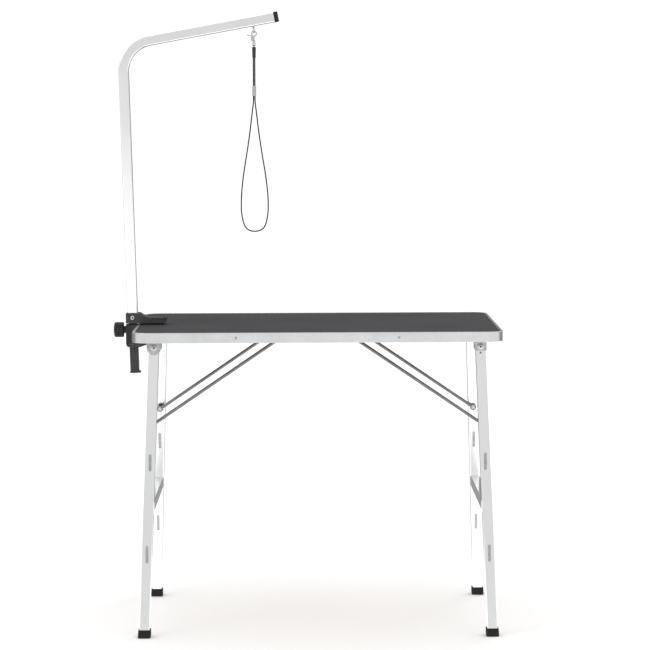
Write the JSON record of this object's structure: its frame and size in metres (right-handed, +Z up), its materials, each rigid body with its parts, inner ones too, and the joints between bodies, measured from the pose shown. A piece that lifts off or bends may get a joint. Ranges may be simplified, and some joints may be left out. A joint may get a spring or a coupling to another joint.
{
  "type": "grooming table",
  "caption": "Folding pet grooming table with a rubber mat top, hinged leg frames held open by stays, and a clamp-on square arm carrying an adjustable noose.",
  "frame": {"origin": "under the middle of the whole object, on the floor", "axes": "+X along the top away from the arm, +Y towards the back, +Z up"},
  "size_m": [0.975, 0.613, 1.5542],
  "materials": {
    "rubber_mat": "textured matt",
    "board": "raw plywood",
    "edge_trim": "satin",
    "steel_tube": "bright plated",
    "black_rubber": "matt",
    "black_plastic": "fine texture",
    "black_metal": "satin powder coat",
    "plated_sheet": "zinc plated",
    "stay_rod": "plated",
    "plated_hardware": "zinc plated",
    "brass": "turned",
    "black_sleeve": "smooth",
    "cord": "braided"
  },
  "bodies": {
    "table": {"table_board": "board", "rubber_mat": "rubber_mat", "edge_trim": "edge_trim", "trim_screws": "plated_hardware", "left_hinge_brackets": "plated_sheet", "right_hinge_brackets": "plated_sheet", "hinge_bracket_screws": "plated_hardware", "hinge_pivot_bolts": "plated_hardware", "hinge_pivot_nuts": "plated_hardware", "left_stay_catches": "plated_sheet", "right_stay_catches": "plated_sheet", "catch_screws": "plated_hardware"},
    "left_leg_frame": {"left_front_leg": "steel_tube", "left_rear_leg": "steel_tube", "left_crossbar": "steel_tube", "left_foot_caps": "black_rubber", "left_leg_top_plugs": "black_plastic", "left_plug_rivets": "plated_hardware", "left_stay_pivot_bolts": "plated_hardware", "left_stay_spacers": "black_plastic", "left_stay_rivet_nuts": "plated_hardware"},
    "right_leg_frame": {"right_front_leg": "steel_tube", "right_rear_leg": "steel_tube", "right_crossbar": "steel_tube", "right_foot_caps": "black_rubber", "right_leg_top_plugs": "black_plastic", "right_plug_rivets": "plated_hardware", "right_stay_pivot_bolts": "plated_hardware", "right_stay_spacers": "black_plastic", "right_stay_rivet_nuts": "plated_hardware"},
    "left_front_stay": {"left_front_stay": "stay_rod"},
    "left_rear_stay": {"left_rear_stay": "stay_rod"},
    "right_front_stay": {"right_front_stay": "stay_rod"},
    "right_rear_stay": {"right_rear_stay": "stay_rod"},
    "arm_clamp": {"upper_jaw": "black_metal", "upper_jaw_pad": "black_rubber", "clamp_stem": "black_metal", "stem_end_stop": "black_metal", "stem_stop_screw": "plated_hardware", "jaw_cross_bolt": "plated_hardware", "jaw_cross_nut": "plated_hardware", "arm_tube": "steel_tube", "arm_end_cap": "black_plastic", "eye_bolt": "plated_hardware", "eye_bolt_rivet_nut": "plated_hardware"},
    "lower_jaw": {"lower_jaw": "black_metal", "lower_jaw_pad": "black_rubber", "knob_insert": "brass"},
    "pressure_pad": {"pressure_pad": "plated_hardware"},
    "clamp_knob": {"knob_grip": "black_plastic", "knob_stud": "plated_hardware"},
    "snap_hook": {"snap_hook_body": "plated_hardware", "snap_hook_spring": "plated_hardware"},
    "snap_bolt": {"snap_hook_bolt": "plated_hardware"},
    "noose": {"swivel_eye": "plated_hardware", "noose_ferrule": "black_sleeve", "noose_cord": "cord"},
    "slide_lock": {"slide_lock": "plated_hardware"}
  },
  "joints": [
    {"name": "left_leg_fold", "type": "hinge", "parent": "table", "child": "left_leg_frame", "pos_m": [-0.37695, 0, 0.7156], "axis": [0, -1, 0], "range_deg": [0, 84.44]},
    {"name": "left_front_stay_turn", "type": "hinge", "parent": "left_leg_frame", "child": "left_front_stay", "pos_m": [-0.38395, 0, 0.5191], "axis": [0, -1, 0], "range_deg": [-121.1, 0]},
    {"name": "left_rear_stay_turn", "type": "hinge", "parent": "left_leg_frame", "child": "left_rear_stay", "pos_m": [-0.38395, 0, 0.5191], "axis": [0, -1, 0], "range_deg": [-121.1, 0]},
    {"name": "right_leg_fold", "type": "hinge", "parent": "table", "child": "right_leg_frame", "pos_m": [0.43805, 0, 0.7156], "axis": [0, 1, 0], "range_deg": [0, 90.44]},
    {"name": "right_front_stay_turn", "type": "hinge", "parent": "right_leg_frame", "child": "right_front_stay", "pos_m": [0.44505, 0, 0.5191], "axis": [0, 1, 0], "range_deg": [-121.1, 0]},
    {"name": "right_rear_stay_turn", "type": "hinge", "parent": "right_leg_frame", "child": "right_rear_stay", "pos_m": [0.44505, 0, 0.5191], "axis": [0, 1, 0], "range_deg": [-121.1, 0]},
    {"name": "arm_clamp_slide", "type": "slide", "parent": "table", "child": "arm_clamp", "axis": [0, 1, 0], "range_m": [-0.1, 0.145]},
    {"name": "lower_jaw_slide", "type": "slide", "parent": "arm_clamp", "child": "lower_jaw", "axis": [0.0276, 0, -0.9996], "range_m": [0, 0.05]},
    {"name": "pressure_pad_travel", "type": "slide", "parent": "lower_jaw", "child": "pressure_pad", "axis": [-1, 0, 0], "range_m": [0, 0.0026]},
    {"name": "knob_turn", "type": "hinge", "parent": "pressure_pad", "child": "clamp_knob", "pos_m": [-0.48755, -0.022, 0.747], "axis": [1, 0, 0], "range_deg": [0, 720]},
    {"name": "noose_swing", "type": "hinge", "parent": "arm_clamp", "child": "snap_hook", "pos_m": [-0.12633, -0.022, 1.50141], "axis": [0, -1, 0], "range_deg": [-25, 50]},
    {"name": "snap_bolt_slide", "type": "slide", "parent": "snap_hook", "child": "snap_bolt", "axis": [0, 0, -1], "range_m": [0, 0.004], "stiffness_N_per_m": 300, "springref_m": -0.002, "deforming": ["snap_hook_spring"]},
    {"name": "noose_swivel", "type": "hinge", "parent": "snap_hook", "child": "noose", "pos_m": [-0.12633, -0.022, 1.47161], "axis": [0, 0, 1], "continuous": true},
    {"name": "slide_lock_slide", "type": "slide", "parent": "noose", "child": "slide_lock", "axis": [0, 0, 1], "range_m": [0, 0.06]}
  ],
  "couplings": [
    {"joint": "left_front_stay_turn", "follows": "left_leg_fold", "ratio": -1.433},
    {"joint": "left_rear_stay_turn", "follows": "left_leg_fold", "ratio": -1.433},
    {"joint": "right_front_stay_turn", "follows": "right_leg_fold", "ratio": -1.3379},
    {"joint": "right_rear_stay_turn", "follows": "right_leg_fold", "ratio": -1.3379},
    {"joint": "pressure_pad_travel", "follows": "knob_turn", "m_per_rad": 0.00019894}
  ]
}
